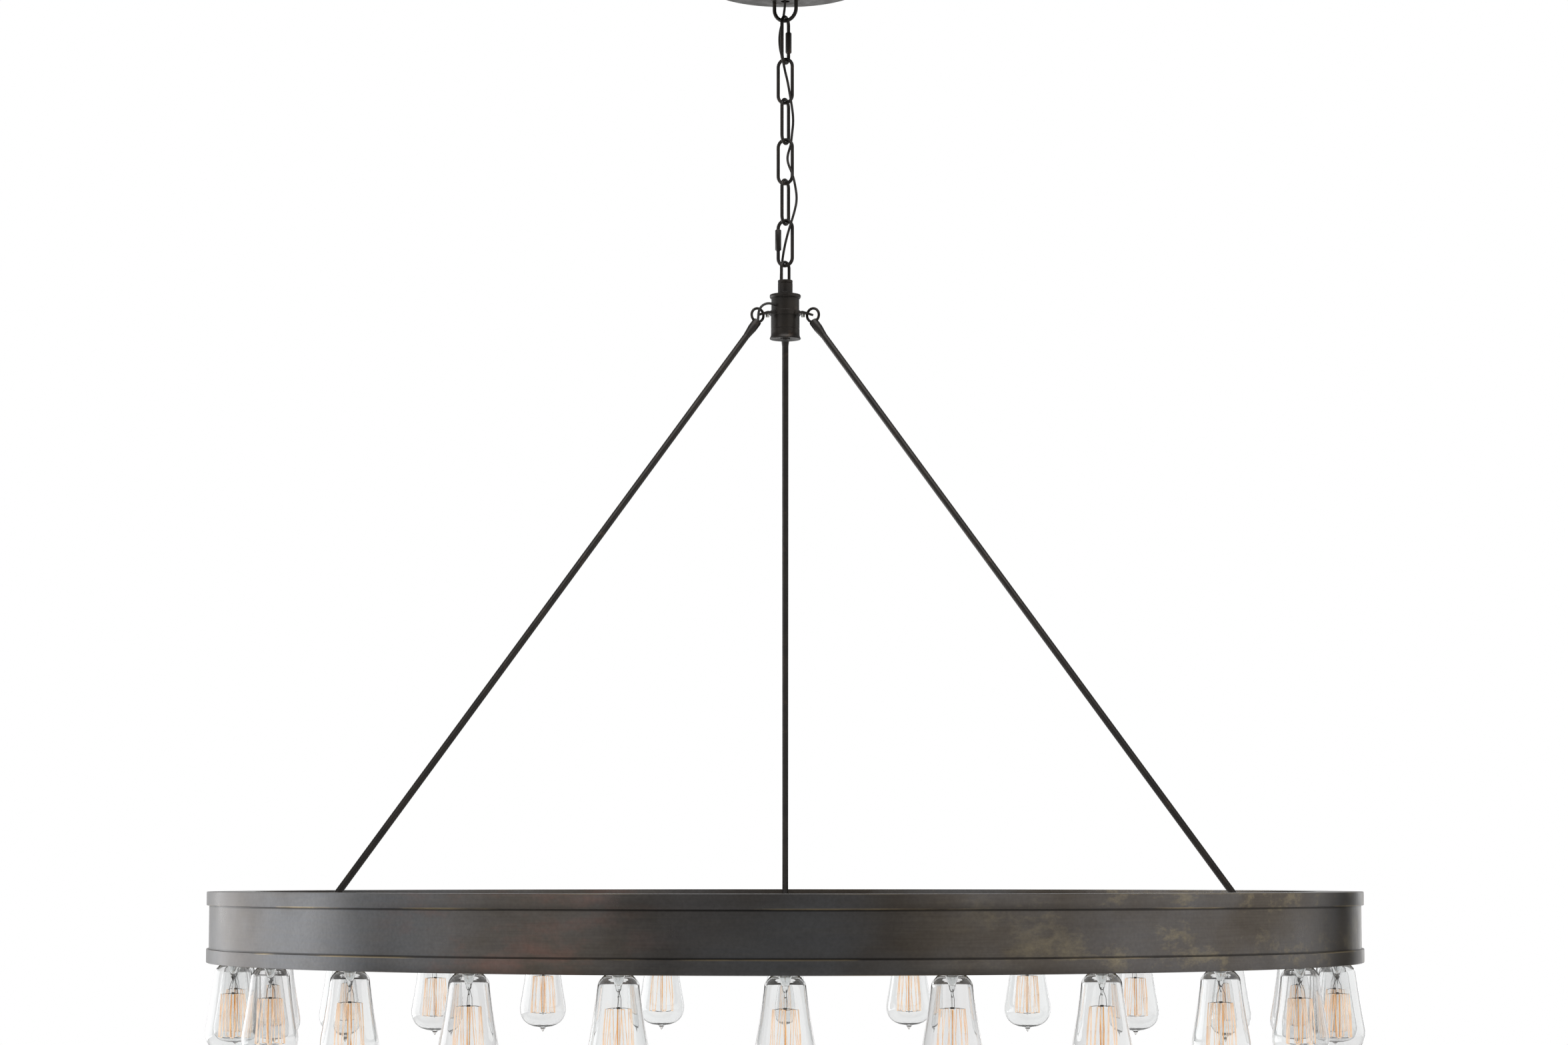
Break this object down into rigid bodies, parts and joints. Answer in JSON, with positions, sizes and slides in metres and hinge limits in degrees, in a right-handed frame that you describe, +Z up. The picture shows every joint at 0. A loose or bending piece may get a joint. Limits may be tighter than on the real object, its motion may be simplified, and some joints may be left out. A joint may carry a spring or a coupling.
{
  "type": "ring chandelier",
  "caption": "Hollow metal ring with pendant filament bulbs below it, hung from a ceiling canopy by a chain, a turned hub and straight rods.",
  "frame": {"origin": "on the ceiling plane, at the middle of the ceiling plate's screw pattern", "axes": "+Z up along the fixture's axis, -Y towards the viewer, +X to the viewer's right"},
  "size_m": [1.379, 1.379, 1.315],
  "materials": {
    "dark_bronze": "dark bronze paint, softly rubbed",
    "ring_bronze": "mottled bronze patina",
    "zinc_steel": "zinc plated",
    "cord_sheath": "woven sheath",
    "wiring_plastic": "matte sleeve",
    "socket_porcelain": "glazed ceramic, drawn as plastic",
    "cap_brass": "bright",
    "bulb_glass": "clear, warm tint",
    "stem_glass": "clear",
    "filament_wire": "glowing carbon thread"
  },
  "bodies": {
    "ceiling_mount": {"crossbar": "zinc_steel", "nipple": "zinc_steel", "nipple_nut": "zinc_steel", "canopy_loop": "dark_bronze", "lamp_cord": "cord_sheath"},
    "canopy": {"canopy": "dark_bronze", "canopy_collar": "dark_bronze"},
    "top_quick_link": {"quick_link_top": "dark_bronze"},
    "top_gate": {"quick_link_top_sleeve": "dark_bronze"},
    "link_1": {"chain_link_1": "dark_bronze"},
    "link_2": {"chain_link_2": "dark_bronze"},
    "link_3": {"chain_link_3": "dark_bronze"},
    "link_4": {"chain_link_4": "dark_bronze"},
    "bottom_quick_link": {"quick_link_bottom": "dark_bronze"},
    "bottom_gate": {"quick_link_bottom_sleeve": "dark_bronze"},
    "hub": {"hub_loop": "dark_bronze", "hub_collar": "dark_bronze", "hub_cap": "dark_bronze", "hub_upper_body": "dark_bronze", "hub_tab_plate": "dark_bronze", "tab_screws": "dark_bronze", "hub_lower_body": "dark_bronze", "hub_bottom_cap": "dark_bronze", "hub_stud": "zinc_steel", "hub_nut": "zinc_steel", "cord_splice": "wiring_plastic", "rod_lead": "wiring_plastic"},
    "left_rod": {"rod_left": "dark_bronze", "rod_left_upper_eye": "dark_bronze", "rod_left_lower_eye": "dark_bronze"},
    "right_rod": {"rod_right": "dark_bronze", "rod_right_upper_eye": "dark_bronze", "rod_right_lower_eye": "dark_bronze"},
    "rear_rod": {"rod_rear": "dark_bronze", "rod_rear_upper_eye": "dark_bronze", "rod_rear_lower_eye": "dark_bronze"},
    "ring": {"ring_outer_wall": "ring_bronze", "ring_inner_wall": "ring_bronze", "ring_upper_band": "ring_bronze", "ring_lower_band": "ring_bronze", "ring_top_cover": "ring_bronze", "ring_socket_plate": "ring_bronze", "ring_lugs": "ring_bronze", "plate_posts": "zinc_steel", "plate_screws": "ring_bronze", "lug_rivets": "ring_bronze", "lamp_sockets": "socket_porcelain", "ring_wiring": "wiring_plastic", "bulb_caps": "cap_brass", "bulb_glass": "bulb_glass", "bulb_stems": "stem_glass", "bulb_filaments": "filament_wire"}
  },
  "joints": [
    {"name": "swing_1", "type": "hinge", "parent": "ceiling_mount", "child": "top_quick_link", "pos_m": [0, 0, -0.06], "axis": [0.9063, -0.4226, 0], "range_deg": [-12, 12], "deforming": ["lamp_cord"]},
    {"name": "swing_2", "type": "hinge", "parent": "top_quick_link", "child": "link_1", "pos_m": [0, 0, -0.1123], "axis": [0.4226, 0.9063, 0], "range_deg": [-12, 12]},
    {"name": "swing_3", "type": "hinge", "parent": "link_1", "child": "link_2", "pos_m": [0, 0, -0.16215], "axis": [0.9063, -0.4226, 0], "range_deg": [-12, 12]},
    {"name": "swing_4", "type": "hinge", "parent": "link_2", "child": "link_3", "pos_m": [0, 0, -0.21205], "axis": [0.4226, 0.9063, 0], "range_deg": [-12, 12]},
    {"name": "swing_5", "type": "hinge", "parent": "link_3", "child": "link_4", "pos_m": [0, 0, -0.26195], "axis": [0.9063, -0.4226, 0], "range_deg": [-12, 12]},
    {"name": "swing_6", "type": "hinge", "parent": "link_4", "child": "bottom_quick_link", "pos_m": [0, 0, -0.31185], "axis": [0.4226, 0.9063, 0], "range_deg": [-12, 12]},
    {"name": "swing_7", "type": "hinge", "parent": "bottom_quick_link", "child": "hub", "pos_m": [0, 0, -0.3631], "axis": [0.9063, -0.4226, 0], "range_deg": [-12, 12]},
    {"name": "ring_twist", "type": "hinge", "parent": "hub", "child": "ring", "pos_m": [0, 0, -0.42409], "axis": [0, 0, 1], "range_deg": [-10, 10]},
    {"name": "left_rod_turn", "type": "hinge", "parent": "hub", "child": "left_rod", "pos_m": [-0.02685, -0.0155, -0.42409], "axis": [0, 0, 1], "range_deg": [-10.7, 10.7], "deforming": ["rod_lead"]},
    {"name": "right_rod_turn", "type": "hinge", "parent": "hub", "child": "right_rod", "pos_m": [0.02685, -0.0155, -0.42409], "axis": [0, 0, 1], "range_deg": [-10.7, 10.7]},
    {"name": "rear_rod_turn", "type": "hinge", "parent": "hub", "child": "rear_rod", "pos_m": [0, 0.031, -0.42409], "axis": [0, 0, 1], "range_deg": [-10.7, 10.7]},
    {"name": "canopy_drop", "type": "slide", "parent": "ceiling_mount", "child": "canopy", "axis": [0, 0, -1], "range_m": [0, 0.025]},
    {"name": "top_gate_open", "type": "slide", "parent": "top_quick_link", "child": "top_gate", "axis": [0, 0, 1], "range_m": [0, 0.007]},
    {"name": "bottom_gate_open", "type": "slide", "parent": "bottom_quick_link", "child": "bottom_gate", "axis": [0, 0, -1], "range_m": [0, 0.009]}
  ],
  "couplings": [
    {"joint": "left_rod_turn", "follows": "ring_twist", "ratio": 1.0534},
    {"joint": "right_rod_turn", "follows": "ring_twist", "ratio": 1.0534},
    {"joint": "rear_rod_turn", "follows": "ring_twist", "ratio": 1.0534}
  ]
}
